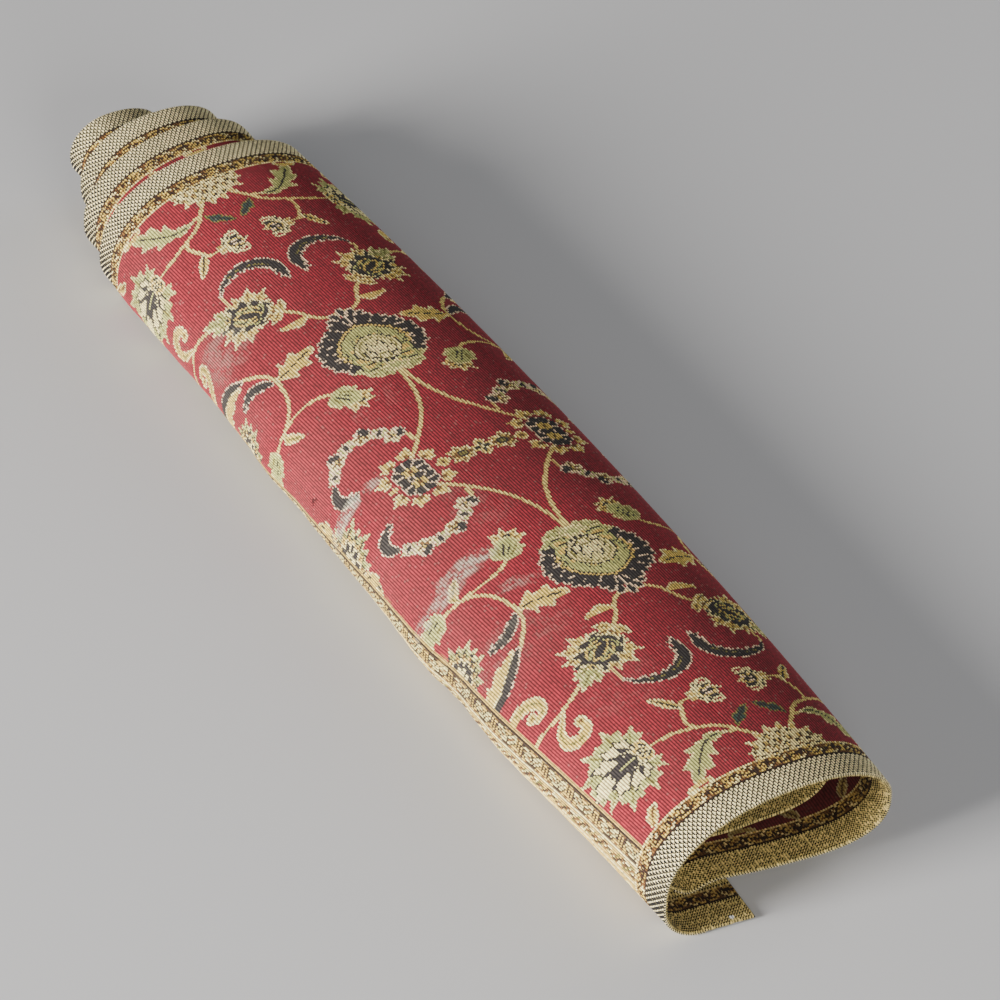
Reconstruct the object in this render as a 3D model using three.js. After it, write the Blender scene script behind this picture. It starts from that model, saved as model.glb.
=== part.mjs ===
// A thin woven rug, rolled up loosely by hand with its face outwards and lying on its side.
//
// The rug is one rectangular sheet. It was rolled a little askew, so each turn sits further along the
// roll than the one around it: at the far end (-X) the inner turns step out, at the near end (+X) they
// are set back, and the outer end of the rug is a short flat tail under the roll.
//
// Units are millimetres, +Z is up and the roll lies along X. The origin is under the middle of the
// roll's bounding box, on the surface that it lies on.
import * as THREE from 'three';

// ---- the flat rug -----------------------------------------------------------------------------
const RUG_WIDTH = 896; //   side to side, which lies along the roll
const RUG_LENGTH = 1400; // end to end, which is wound up
const THICKNESS = 3; //     over the ribs of both faces

// ---- the roll ---------------------------------------------------------------------------------
const SKEW = 0.0607; //      slope of the rug's threads against the roll's axis on the outer turn
// how far the winding has moved along the axis: [wound length, move], both in mm
const STEPS = [
  [-60, -3.6], [0, 0], [100, 6], [219, 13.6], [310, 19.5], [400, 25], [450, 30], [490, 38], [545, 52], [600, 60], [645, 64.5], [700, 68.5],
  [760, 70.5], [800, 71], [840, 70.5], [870, 76], [905, 88], [950, 97.5], [1046, 107], [1110, 114.5], [1186, 125], [1276, 134.5], [1400, 147],
];
const NEAR_END = 450; //     x of the tail's near corner before the roll is centred
const TAIL_EDGE_Y = -6.5; // y of the tail's free corner at the near end
const TAIL_FAR_Y = 113.5; // the tail's line is drawn out this far, beyond what the skew uses

// One row per turn, from the outside in, giving the outer face of the section at the near end.
// bottomFrom..bottomTo is the run along the bottom at bottomZ, then come the left side, the crown and
// the right side; the last four columns are how square each of the four corner curves is (2 = ellipse).
const TURNS = [
  { bottomFrom: TAIL_FAR_Y, bottomTo: -48, bottomZ: 0, leftY: -77, leftZ: 26, topY: 24, topZ: 91, rightY: 111, rightZ: 48, squareBL: 2.0, squareLT: 2.2, squareTR: 2.2, squareRB: 2.7 },
  { bottomFrom: 40, bottomTo: -40, bottomZ: 13, leftY: -70, leftZ: 31, topY: 30, topZ: 84.5, rightY: 90, rightZ: 47, squareBL: 2.1, squareLT: 2.2, squareTR: 2.2, squareRB: 2.5 },
  { bottomFrom: 40, bottomTo: -30, bottomZ: 17, leftY: -54, leftZ: 38, topY: 22, topZ: 78.5, rightY: 79, rightZ: 47, squareBL: 2.1, squareLT: 2.2, squareTR: 2.2, squareRB: 2.3 },
  { bottomFrom: 40, bottomTo: -24, bottomZ: 27, leftY: -45, leftZ: 43, topY: -8, topZ: 69, rightY: 38, rightZ: 49, squareBL: 2.1, squareLT: 2.1, squareTR: 2.1, squareRB: 2.1 },
  { bottomFrom: 16, bottomTo: -12, bottomZ: 36, leftY: -30, leftZ: 46, topY: -6, topZ: 56, rightY: 16, rightZ: 50, squareBL: 2.1, squareLT: 2.1, squareTR: 2.1, squareRB: 2.1 },
];
const HEIGHT = TURNS[0].topZ;

// ---- unevenness along the roll ----------------------------------------------------------------
const SPAN = 900; //          length over which the roll swells and tapers
const SWELL = 0.1218; //      the middle of the roll is this much wider than its near end
const SWELL_ABOUT_Y = -25; // and swells away from this line
const SWELL_SHIFT = -0.7;
const MIDDLE_DROP = -0.0288; // change of height at the middle
const FAR_NARROW = -0.018; //   change of width at the far end
const FAR_RISE = 0.0618; //     change of height at the far end
const SAG = { depth: 6.5, over: 260 }; //                  the bottom turns settle behind the lifted near lip
const BELLY = { y: 74, spread: 17, depth: 8.5, from: 60, over: 320 }; // the outer turn lies on the floor beside the tail
const LIP = { y: -37, spread: 13, depth: 8.5, from: 10, over: 130 }; //  the second turn dips onto the tail at the near end

// ---- the mesh ---------------------------------------------------------------------------------
const SECTION_STEP = 8.6; //  spacing of sections along the wound length
const STATIONS = [0, 18, 42, 75, 120, 190, 300, 430, 560, 690, 800, RUG_WIDTH]; // across the rug
const CURVE_STEPS = 160; //   fine steps used to measure each curve of the section
const CENTRE = { x: -69.478, y: 21.05 }; // middle of the roll's box before it is centred

const smooth = (a, b, v) => {
  const t = Math.min(1, Math.max(0, (v - a) / (b - a)));
  return t * t * (3 - 2 * t);
};
const bump = (v, middle, spread) => Math.exp(-(((v - middle) / spread) ** 2));

// The section as one fine polyline with its running length: [length, y, z, turns].
function windSection() {
  const line = [];
  const push = (y, z, turns) => {
    const last = line[line.length - 1];
    const length = last ? last[0] + Math.hypot(y - last[1], z - last[2]) : TAIL_EDGE_Y - TAIL_FAR_Y;
    line.push([length, y, z, turns]);
  };
  const run = (a, b, from, to) => {
    for (let i = line.length ? 1 : 0; i <= CURVE_STEPS; i++) {
      const k = i / CURVE_STEPS;
      push(a[0] + (b[0] - a[0]) * k, a[1] + (b[1] - a[1]) * k, from + (to - from) * k);
    }
  };
  const corner = (a, b, centre, square, from, to) => {
    for (let i = 1; i <= CURVE_STEPS; i++) {
      const k = i / CURVE_STEPS, angle = (k * Math.PI) / 2;
      const c = Math.pow(Math.max(0, Math.cos(angle)), 2 / square), s = Math.pow(Math.sin(angle), 2 / square);
      push(centre[0] + (a[0] - centre[0]) * c + (b[0] - centre[0]) * s, centre[1] + (a[1] - centre[1]) * c + (b[1] - centre[1]) * s, from + (to - from) * k);
    }
  };
  TURNS.forEach((t, i) => {
    const next = TURNS[i + 1];
    const start = [t.bottomFrom, t.bottomZ], end = [t.bottomTo, t.bottomZ];
    const left = [t.leftY, t.leftZ], top = [t.topY, t.topZ], right = [t.rightY, t.rightZ];
    run(start, end, i - 0.12, i);
    corner(end, left, [t.bottomTo, t.leftZ], t.squareBL, i, i + 0.25);
    corner(left, top, [t.topY, t.leftZ], t.squareLT, i + 0.25, i + 0.5);
    corner(top, right, [t.topY, t.rightZ], t.squareTR, i + 0.5, i + 0.75);
    if (next) corner(right, [next.bottomFrom, next.bottomZ], [next.bottomFrom, t.rightZ], t.squareRB, i + 0.75, i + 0.88);
  });
  return line;
}
const LINE = windSection();

function onSection(length) {
  let low = 0, high = LINE.length - 1;
  while (high - low > 1) {
    const middle = (low + high) >> 1;
    if (LINE[middle][0] <= length) low = middle;
    else high = middle;
  }
  const a = LINE[low], b = LINE[high], k = (length - a[0]) / (b[0] - a[0]);
  return [1, 2, 3].map((c) => a[c] + (b[c] - a[c]) * k);
}

// slope of the step table at each of its rows, for a smooth curve through them
const SLOPES = STEPS.map(([at, move], i) => {
  const before = STEPS[i - 1], after = STEPS[i + 1];
  if (!before) return (after[1] - move) / (after[0] - at);
  if (!after) return (move - before[1]) / (at - before[0]);
  const a = at - before[0], b = after[0] - at;
  return (((move - before[1]) / a) * b + ((after[1] - move) / b) * a) / (a + b);
});

function stepAlong(length) {
  let i = STEPS.findIndex(([at]) => at >= length) - 1;
  i = Math.min(STEPS.length - 2, Math.max(0, i));
  const [from, low] = STEPS[i], [to, high] = STEPS[i + 1];
  const gap = to - from, k = Math.min(1, Math.max(0, (length - from) / gap)), r = 1 - k;
  return (1 + 2 * k) * r * r * low + k * r * r * gap * SLOPES[i] + k * k * (3 - 2 * k) * high - k * k * r * gap * SLOPES[i + 1];
}

// Outer face of the roll where the wound length is `length`, at the place x along the roll.
function outerFace(length, x) {
  let [y, z, turns] = onSection(length);
  const along = (x - (NEAR_END - SPAN / 2 - 15)) / (SPAN / 2); // +1 near end, -1 far end
  const middle = Math.max(0, 1 - along * along), far = (1 - along) / 2;
  const inside = NEAR_END - stepAlong(length) - x; // how far in from the rug's near edge
  const sag = SAG.depth * smooth(0, SAG.over, inside);
  z -= sag * smooth(0.72, 0.88, turns) * Math.max(0, 1 - z / HEIGHT);
  z -= smooth(0.72, 0.8, turns) * (1 - smooth(0.88, 0.95, turns)) * bump(y, BELLY.y, BELLY.spread) * BELLY.depth * smooth(BELLY.from, BELLY.over, inside);
  z -= smooth(0.9, 0.95, turns) * (1 - smooth(1.15, 1.25, turns)) * bump(y, LIP.y, LIP.spread) * LIP.depth * (1 - smooth(LIP.from, LIP.over, inside));
  if (turns > 0.6) z = Math.max(0, z);
  return [
    SWELL_ABOUT_Y + (y - SWELL_ABOUT_Y) * (1 + SWELL * middle + FAR_NARROW * far) + SWELL_SHIFT * middle,
    z * (1 + MIDDLE_DROP * middle + FAR_RISE * far),
  ];
}

// A point of the rug: s along its length from the outer end, t across it from the near side, and
// depth below its face.
function onRug(s, t, depth) {
  const cos = 1 / Math.hypot(1, SKEW), sin = SKEW * cos;
  const length = s * cos - t * sin;
  const x = NEAR_END - t / cos - stepAlong(length);
  const [y, z] = outerFace(length, x);
  const ahead = outerFace(length + 0.5, x), behind = outerFace(length - 0.5, x);
  const dy = ahead[0] - behind[0], dz = ahead[1] - behind[1], size = Math.hypot(dy, dz);
  return [x - CENTRE.x, y + (depth * dz) / size - CENTRE.y, z - (depth * dy) / size];
}

// The closed sheet: a grid of points on the face and another on the back, joined round the edges.
function rolledRug() {
  const sections = Math.round(RUG_LENGTH / SECTION_STEP), across = STATIONS.length;
  const positions = [], triangles = [];
  for (const depth of [0, THICKNESS])
    for (let i = 0; i <= sections; i++)
      for (const t of STATIONS) positions.push(...onRug((RUG_LENGTH * i) / sections, t, depth));
  const face = (i, j) => i * across + j;
  const back = (i, j) => (sections + 1) * across + face(i, j);
  const quad = (a, b, c, d) => triangles.push(a, b, c, a, c, d);
  for (let i = 0; i < sections; i++)
    for (let j = 0; j < across - 1; j++) {
      quad(face(i, j), face(i + 1, j), face(i + 1, j + 1), face(i, j + 1));
      quad(back(i, j), back(i, j + 1), back(i + 1, j + 1), back(i + 1, j));
    }
  const last = across - 1;
  for (let i = 0; i < sections; i++) {
    quad(face(i, 0), back(i, 0), back(i + 1, 0), face(i + 1, 0));
    quad(face(i, last), face(i + 1, last), back(i + 1, last), back(i, last));
  }
  for (let j = 0; j < last; j++) {
    quad(face(0, j), face(0, j + 1), back(0, j + 1), back(0, j));
    quad(face(sections, j), back(sections, j), back(sections, j + 1), face(sections, j + 1));
  }
  const geometry = new THREE.BufferGeometry();
  geometry.setAttribute('position', new THREE.Float32BufferAttribute(positions, 3));
  geometry.setIndex(triangles);
  geometry.computeVertexNormals();
  return geometry;
}

const carpet = new THREE.Mesh(
  rolledRug(),
  new THREE.MeshStandardMaterial({ color: 0xa02c38, roughness: 0.92, metalness: 0 }),
);
carpet.name = 'carpet';

const part = new THREE.Group();
part.add(carpet);

export default part;
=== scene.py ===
import math

import bpy
import numpy as np
from mathutils import Matrix


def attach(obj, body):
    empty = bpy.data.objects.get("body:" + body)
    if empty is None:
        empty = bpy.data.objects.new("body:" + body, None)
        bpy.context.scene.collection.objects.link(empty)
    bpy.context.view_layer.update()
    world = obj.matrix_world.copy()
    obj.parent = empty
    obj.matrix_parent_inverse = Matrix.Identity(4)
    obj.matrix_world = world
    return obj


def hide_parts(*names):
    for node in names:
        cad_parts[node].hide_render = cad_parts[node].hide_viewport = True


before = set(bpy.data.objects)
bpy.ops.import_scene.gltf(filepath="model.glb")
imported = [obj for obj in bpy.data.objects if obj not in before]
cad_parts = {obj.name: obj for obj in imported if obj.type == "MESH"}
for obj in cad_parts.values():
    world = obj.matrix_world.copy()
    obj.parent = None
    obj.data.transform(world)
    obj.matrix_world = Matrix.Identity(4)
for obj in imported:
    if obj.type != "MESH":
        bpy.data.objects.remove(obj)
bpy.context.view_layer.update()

# ------------------------------------------------------------------ the roll
# Millimetres. A rug point is (s, t): s from the free outer end inwards along
# the winding, t across the rug from its near side to its far side.
RUG_WIDTH, RUG_LENGTH, THICK, SPAN = 896.0, 1400.0, 3.0, 900.0
SKEW = 0.0607
CO = 1 / math.sqrt(1 + SKEW * SKEW)
SI = SKEW * CO
X_NEAR, Q_FREE = 450.0, -6.5
CENTRE = np.array([-69.478, 21.05, 0.0])

# one row a turn: bottom run from y to y at z | left y, z | top y, z |
# right y, z | roundness of the four quarter bends
TURNS = [
    (113.5, -48, 0, -77, 26, 24, 91, 111, 48, 2.0, 2.2, 2.2, 2.7),
    (40, -40, 13, -70, 31, 30, 84.5, 90, 47, 2.1, 2.2, 2.2, 2.5),
    (40, -30, 17, -54, 38, 22, 78.5, 79, 47, 2.1, 2.2, 2.2, 2.3),
    (40, -24, 27, -45, 43, -8, 69, 38, 49, 2.1, 2.1, 2.1, 2.1),
    (16, -12, 36, -30, 46, -6, 56, 16, 50, 2.1, 2.1, 2.1, 2.1),
]


def ease(a, b, x):
    k = np.clip((x - a) / (b - a), 0, 1)
    return k * k * (3 - 2 * k)


def section(m=200):
    pts, turn = [], []
    k = np.linspace(0, np.pi / 2, m)

    def bend(p0, p1, c, n):
        p0, p1, c = (np.array(v, float) for v in (p0, p1, c))
        return c + (p0 - c) * (np.cos(k) ** (2 / n))[:, None] + (p1 - c) * (np.sin(k) ** (2 / n))[:, None]

    for r, row in enumerate(TURNS):
        br, bl, bz, ly, lz, ty, tz, ry, rz, n0, n1, n2, n3 = row
        runs = [
            (np.linspace((br, bz), (bl, bz), m), -0.12, 0.0),
            (bend((bl, bz), (ly, lz), (bl, lz), n0), 0.0, 0.25),
            (bend((ly, lz), (ty, tz), (ty, lz), n1), 0.25, 0.5),
            (bend((ty, tz), (ry, rz), (ty, rz), n2), 0.5, 0.75),
        ]
        if r + 1 < len(TURNS):
            nxt = TURNS[r + 1]
            runs.append((bend((ry, rz), (nxt[0], nxt[2]), (nxt[0], rz), n3), 0.75, 0.88))
        for run, a, b in runs:
            first = 1 if pts else 0
            pts.append(run[first:])
            turn.append(r + np.linspace(a, b, m)[first:])
    pts, turn = np.concatenate(pts), np.concatenate(turn)
    q = np.concatenate([[0], np.cumsum(np.hypot(*np.diff(pts, axis=0).T))])
    return q - (TURNS[0][0] - Q_FREE), pts, turn


SEC_Q, SEC_YZ, SEC_TURN = section()


# how far the winding has moved along the roll: wound length, move
STEPS = np.array([
    (-60, -3.6), (0, 0), (100, 6), (219, 13.6), (310, 19.5), (400, 25), (450, 30), (490, 38), (545, 52), (600, 60), (645, 64.5), (700, 68.5),
    (760, 70.5), (800, 71), (840, 70.5), (870, 76), (905, 88), (950, 97.5), (1046, 107), (1110, 114.5), (1186, 125), (1276, 134.5), (1400, 147),
], float)


def creep(q):
    x, y = STEPS.T
    m = np.gradient(y, x)
    i = np.clip(np.searchsorted(x, q) - 1, 0, len(x) - 2)
    h = x[i + 1] - x[i]
    k = np.clip((q - x[i]) / h, 0, 1)
    r = 1 - k
    return (1 + 2 * k) * r * r * y[i] + k * r * r * h * m[i] + k * k * (3 - 2 * k) * y[i + 1] - k * k * r * h * m[i + 1]


# soft waves low on the left side of the roll: place along it, how far the cloth is drawn in
WAVES = np.array([
    (-620, 0), (-440, 0), (-405, -0.6), (-365, 0.9), (-320, 2.1), (-285, 3.6), (-250, 4.2), (-215, 3.4), (-185, 2.8), (-165, 1.0), (-144, 0.2), (-120, 1.2),
    (-98, 1.9), (-70, 1.1), (-30, 0.5), (20, -0.1), (50, -1.0), (75, -2.6), (100, -4.1), (124, -4.3), (145, -2.2), (165, -1.4), (188, -2.8), (222, -3.9),
    (250, -3.1), (280, -1.6), (310, -0.3), (345, 1.0), (380, 1.5), (450, 1.8),
], float)


def drawn_in(x, y, z):
    a, b = WAVES.T
    i = np.clip(np.searchsorted(a, x) - 1, 0, len(a) - 2)
    k = np.clip((x - a[i]) / (a[i + 1] - a[i]), 0, 1)
    k = k * k * (3 - 2 * k)
    return (b[i] * (1 - k) + b[i + 1] * k) * (1 - ease(-70, -20, y)) * (1 - ease(24, 62, z))


def place(q, x):
    y = np.interp(q, SEC_Q, SEC_YZ[:, 0])
    z = np.interp(q, SEC_Q, SEC_YZ[:, 1])
    u = np.interp(q, SEC_Q, SEC_TURN)
    xi = (x - (X_NEAR - SPAN / 2 - 15)) / (SPAN / 2)
    swell, far = np.clip(1 - xi * xi, 0, None), (1 - xi) / 2
    inn = X_NEAR - creep(q) - x
    z = z - 6.5 * ease(0, 260, inn) * ease(0.72, 0.88, u) * np.clip(1 - z / 91, 0, 1)
    first = ease(0.72, 0.80, u) * (1 - ease(0.88, 0.95, u))
    z = z - first * np.exp(-(((y - 74) / 17) ** 2)) * 8.5 * ease(60, 320, inn)
    lip = ease(0.9, 0.95, u) * (1 - ease(1.15, 1.25, u))
    z = z - lip * 8.5 * np.exp(-(((y + 37) / 13) ** 2)) * (1 - ease(10, 130, inn))
    z = np.where(u > 0.6, np.maximum(z, 0.0), z)
    y, z = -25 + (y + 25) * (1 + 0.1218 * swell - 0.018 * far) - 0.7 * swell, z * (1 - 0.0288 * swell + 0.0618 * far)
    return y + drawn_in(x, y, z), z


def rug(s, t, deep=0.0):
    """Where a rug point lies, in metres, deep millimetres under the outer face."""
    q = s * CO - t * SI
    x = X_NEAR - t / CO - creep(q)
    (y0, z0), (y1, z1), (y, z) = place(q - 0.5, x), place(q + 0.5, x), place(q, x)
    ty, tz = y1 - y0, z1 - z0
    n = np.hypot(ty, tz)
    p = np.stack([x + 0 * y, y + deep * tz / n, z - deep * ty / n], -1)
    return (p - CENTRE) / 1000.0


# ----------------------------------------------------------------- the chart
# The field repeats along s and is mirrored, so one cell is drawn: tau is the
# distance from the nearer end of the rug, vee from the line of the medallions.
RED, CREAM, GOLD, SAGE, COAL, BROWN, GREEN, PINK, UMBER, VINE, STRAW, OLIVE, PALE = range(13)
SRGB = {
    RED: (144, 24, 42), CREAM: (248, 230, 158), GOLD: (220, 188, 92), SAGE: (184, 182, 106),
    COAL: (44, 38, 40), BROWN: (116, 78, 38), GREEN: (44, 66, 58), PINK: (238, 208, 168),
    UMBER: (54, 34, 24), VINE: (228, 202, 116), STRAW: (206, 172, 84), OLIVE: (124, 114, 52),
    PALE: (226, 212, 138),
}
S_MEDAL, HALF = 246.5, 131.5
FIELD_S, FIELD_T = 116.5, 39.5
FAR_CUT = 2.5       # the far end band was cut this much narrower than the near one
STEP = 0.5
TAU = np.arange(34.0, 452.0, STEP)
VEE = np.arange(-4.0, 136.0, STEP)
CELL = np.full((len(TAU), len(VEE)), RED, np.int8)


def curve(points, n=64):
    """A smooth line through the points, evenly stepped."""
    p = np.asarray(points, float)
    if len(p) == 2:
        fine = p[0] + (p[1] - p[0]) * np.linspace(0, 1, 40)[:, None]
    else:
        e = np.concatenate([[2 * p[0] - p[1]], p, [2 * p[-1] - p[-2]]])
        k = np.linspace(0, 1, 24, endpoint=False)[:, None]
        fine = []
        for a, b, c, d in zip(e, e[1:], e[2:], e[3:]):
            fine.append(0.5 * (2 * b + (c - a) * k + (2 * a - 5 * b + 4 * c - d) * k ** 2 + (3 * b - a - 3 * c + d) * k ** 3))
        fine = np.concatenate(fine + [p[-1:]])
    run = np.concatenate([[0], np.cumsum(np.hypot(*np.diff(fine, axis=0).T))])
    at = np.linspace(0, run[-1], n)
    return np.stack([np.interp(at, run, fine[:, 0]), np.interp(at, run, fine[:, 1])], -1)


def turned(p, at, deg, size=1.0):
    c, s = math.cos(math.radians(deg)), math.sin(math.radians(deg))
    p = np.asarray(p, float) * size
    return np.stack([at[0] + p[:, 0] * c - p[:, 1] * s, at[1] + p[:, 0] * s + p[:, 1] * c], -1)


def window(p, pad):
    i0, i1 = np.searchsorted(TAU, [p[:, 0].min() - pad, p[:, 0].max() + pad])
    j0, j1 = np.searchsorted(VEE, [p[:, 1].min() - pad, p[:, 1].max() + pad])
    return slice(i0, i1), slice(j0, j1)


def away(p, w, closed):
    """Distance from the line p over a window of the chart, below zero inside it if closed."""
    x, y = TAU[w[0]][:, None], VEE[w[1]][None, :]
    best = np.full((x.shape[0], y.shape[1]), 1e9)
    inside = np.zeros(best.shape, bool)
    ends = np.concatenate([p, p[:1]]) if closed else p
    for (ax, ay), (bx, by) in zip(ends, ends[1:]):
        dx, dy = bx - ax, by - ay
        k = np.clip(((x - ax) * dx + (y - ay) * dy) / max(dx * dx + dy * dy, 1e-9), 0, 1)
        best = np.minimum(best, (x - ax - k * dx) ** 2 + (y - ay - k * dy) ** 2)
        if closed and ay != by:
            inside ^= ((ay > y) != (by > y)) & (x < ax + (y - ay) * dx / dy)
    best = np.sqrt(best)
    return np.where(inside, -best, best)


def fill(p, *layers):
    """Paints a closed shape: each layer is (how far out it reaches, colour)."""
    w = window(p, max(r for r, _ in layers) + 1)
    if w[0].start >= w[0].stop or w[1].start >= w[1].stop:
        return
    d = away(p, w, True)
    for r, c in layers:
        CELL[w][d < r] = c


def line(points, *layers):
    """Paints a line: each layer is (its width, colour)."""
    p = curve(points)
    w = window(p, max(r for r, _ in layers) + 1)
    if w[0].start >= w[0].stop or w[1].start >= w[1].stop:
        return
    d = away(p, w, False)
    for r, c in layers:
        CELL[w][d < r / 2] = c


def lobe(length, width, teeth=0, bite=0.0, belly=0.45, sharp=1.0, start=0.0):
    u = np.linspace(0, 1, max(40, 10 * teeth + 1))
    w = width / 2 * np.sin(np.pi * u ** (math.log(0.5) / math.log(belly))) ** sharp
    if teeth:
        w = w * (1 - bite * (1 - (u * teeth) % 1))
    return np.concatenate([np.stack([start + u * length, w], -1), np.stack([start + u * length, -w], -1)[-2:0:-1]])


def ribbon(points, widths, teeth=0, bite=0.0, left=True, right=True):
    """A tapering strip along a curve, toothed on either side."""
    n = max(48, 10 * teeth + 1)
    p = curve(points, n)
    g = np.gradient(p, axis=0)
    g = g / np.hypot(g[:, 0], g[:, 1])[:, None]
    nrm = np.stack([-g[:, 1], g[:, 0]], -1)
    u = np.linspace(0, 1, n)
    w = np.interp(u, np.linspace(0, 1, len(widths)), widths) / 2
    saw = 1 - bite * (1 - (u * teeth) % 1) if teeth else np.ones(n)
    a = p + nrm * (w * (saw if left else 1))[:, None]
    b = p - nrm * (w * (saw if right else 1))[:, None]
    return np.concatenate([a, b[::-1]])


def vine(*points, wide=3.0):
    line(points, (wide, VINE))


OUT = 0.55


def spiked(length, width, teeth=3, bite=0.5, belly=0.5, start=0.0):
    """A leaf with teeth that lean towards its tip."""
    e = math.log(0.5) / math.log(belly)
    side = [(0.0, 0.12 * width)]
    for k in range(teeth):
        u = (k + 1) / (teeth + 0.9)
        w = width / 2 * math.sin(math.pi * min(u, 0.97) ** e) ** 0.6
        side += [(u - 0.55 / (teeth + 0.9), w * (1 - 0.45 * bite)), (u + 0.16 / (teeth + 0.9), w), (u + 0.2 / (teeth + 0.9), w * (1 - bite))]
    a = np.array(side + [(1.0, 0.0)])
    a[:, 0] = start + a[:, 0] * length
    return np.concatenate([a, (a * (1, -1))[-2::-1]])


def disc(at, r, *layers):
    fill(turned([(r * math.cos(a), r * math.sin(a)) for a in np.linspace(0, 2 * np.pi, 24, False)], at, 0), *layers)


def leaf(points, widths, body, edge=CREAM, teeth=0, bite=0.0, rib=None, left=True, right=True, out=OUT):
    fill(ribbon(points, widths, teeth, bite, left, right), (out, edge), (-out, body))
    if rib is not None:
        p = curve(points, 20)
        line(p[2:-3], (1.5, rib))


def petals(at, spread, length, width, body, edge=CREAM, belly=0.6, start=0.0, core=None, sharp=0.8, out=OUT):
    """A fan of lobes about a point, one for each angle in spread."""
    for k, a in enumerate(spread):
        ln = length[k] if hasattr(length, "__len__") else length
        wd = width[k] if hasattr(width, "__len__") else width
        fill(turned(lobe(ln, wd, belly=belly, sharp=sharp, start=start), at, a), (out, edge), (-out, body))
        if core is not None:
            fill(turned(lobe(ln * 0.6, wd * 0.34, start=start + ln * 0.16), at, a), (0.2, core))


def flames(at, spread, length, width, body, edge=CREAM, teeth=2, bite=0.5, belly=0.55, start=0.0, vein=None, out=OUT):
    """A fan of toothed leaves about a point."""
    for k, a in enumerate(spread):
        ln = length[k] if hasattr(length, "__len__") else length
        wd = width[k] if hasattr(width, "__len__") else width
        fill(turned(spiked(ln, wd, teeth, bite, belly, start), at, a), (out, edge), (-out, body))
    for k, a in enumerate(spread):
        if vein is not None:
            ln = length[k] if hasattr(length, "__len__") else length
            line(turned([(start + ln * 0.3, 0), (start + ln * 0.8, 0)], at, a), (1.3, vein))


def corner_palmette(at, deg):
    def spot(a, b=0.0):
        return turned([(a, b)], at, deg)[0]

    flames(spot(17), [deg + a for a in (124, -124, 90, -90, 57, -57, 27, -27, 0)], [28, 31, 37, 39, 43, 41, 40, 43, 47], [15, 16, 18, 19, 19, 18, 16, 16, 17],
           SAGE, PALE, teeth=2, bite=0.7, belly=0.62, vein=OLIVE)
    for a, ln, wd in ((80, 23, 12), (55, 29, 13), (30, 35, 13), (0, 47, 14)):
        for sgn in (1, -1):
            fill(turned(spiked(ln, wd, 2, 0.5, 0.58), spot(12), deg + sgn * a), (0.9, COAL), (-0.2, CREAM))
    for a, ln in ((68, 12), (42, 17), (15, 24)):
        for sgn in (1, -1):
            fill(turned(lobe(ln, 2.6, start=8), spot(11), deg + sgn * a), (0.1, COAL))
    fill(turned(spiked(26, 18, 3, 0.4), spot(9), deg), (0.3, COAL))
    line([spot(14), spot(26)], (1.5, SAGE))
    petals(spot(1), [deg + a for a in (62, -62, 24, -24)], [13, 13, 13, 13], 6, GOLD, CREAM, core=COAL)
    line([spot(-4), spot(8)], (2.8, VINE))
    disc(spot(8), 2.4, (0.4, CREAM), (-0.7, COAL))


def medium_palmette(at, deg):
    def spot(a, b=0.0):
        return turned([(a, b)], at, deg)[0]

    flames(spot(22), [deg + a for a in (132, -132, 104, -104, 76, -76, 50, -50)], [21, 21, 28, 28, 30, 30, 28, 28], [10, 10, 12, 12, 13, 13, 12, 12],
           GOLD, CREAM, teeth=2, bite=0.62, vein=BROWN)
    fill(turned(spiked(47, 36, 4, 0.42, 0.5), spot(3), deg), (0.5, CREAM), (-0.45, COAL))
    petals(spot(11), [deg + a for a in (64, -64, 36, -36, 12, -12)], [13, 13, 18, 18, 24, 24], 5.6, SAGE, COAL, core=COAL, out=0.3)
    for b in (-9, 9):
        line([spot(14, b * 0.6), spot(24, b), spot(32, b * 0.7)], (1.3, GOLD))
    fill(turned(lobe(23, 8), spot(12), deg), (0.5, GOLD), (-0.7, COAL))
    flames(spot(39), [deg + a for a in (66, -66, 36, -36, 0)], [10, 10, 17, 17, 23], [7, 7, 9, 9, 10], SAGE, CREAM, teeth=2, bite=0.5, vein=OLIVE)
    disc(spot(40), 2.2, (0.4, GOLD), (-0.7, COAL))
    flames(spot(-2), [deg + a for a in (76, -76, 34, -34)], 14, 7.5, GOLD, CREAM, teeth=1, bite=0.4, vein=BROWN)
    disc(spot(3), 2.6, (0.3, CREAM), (-0.8, BROWN))


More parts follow.
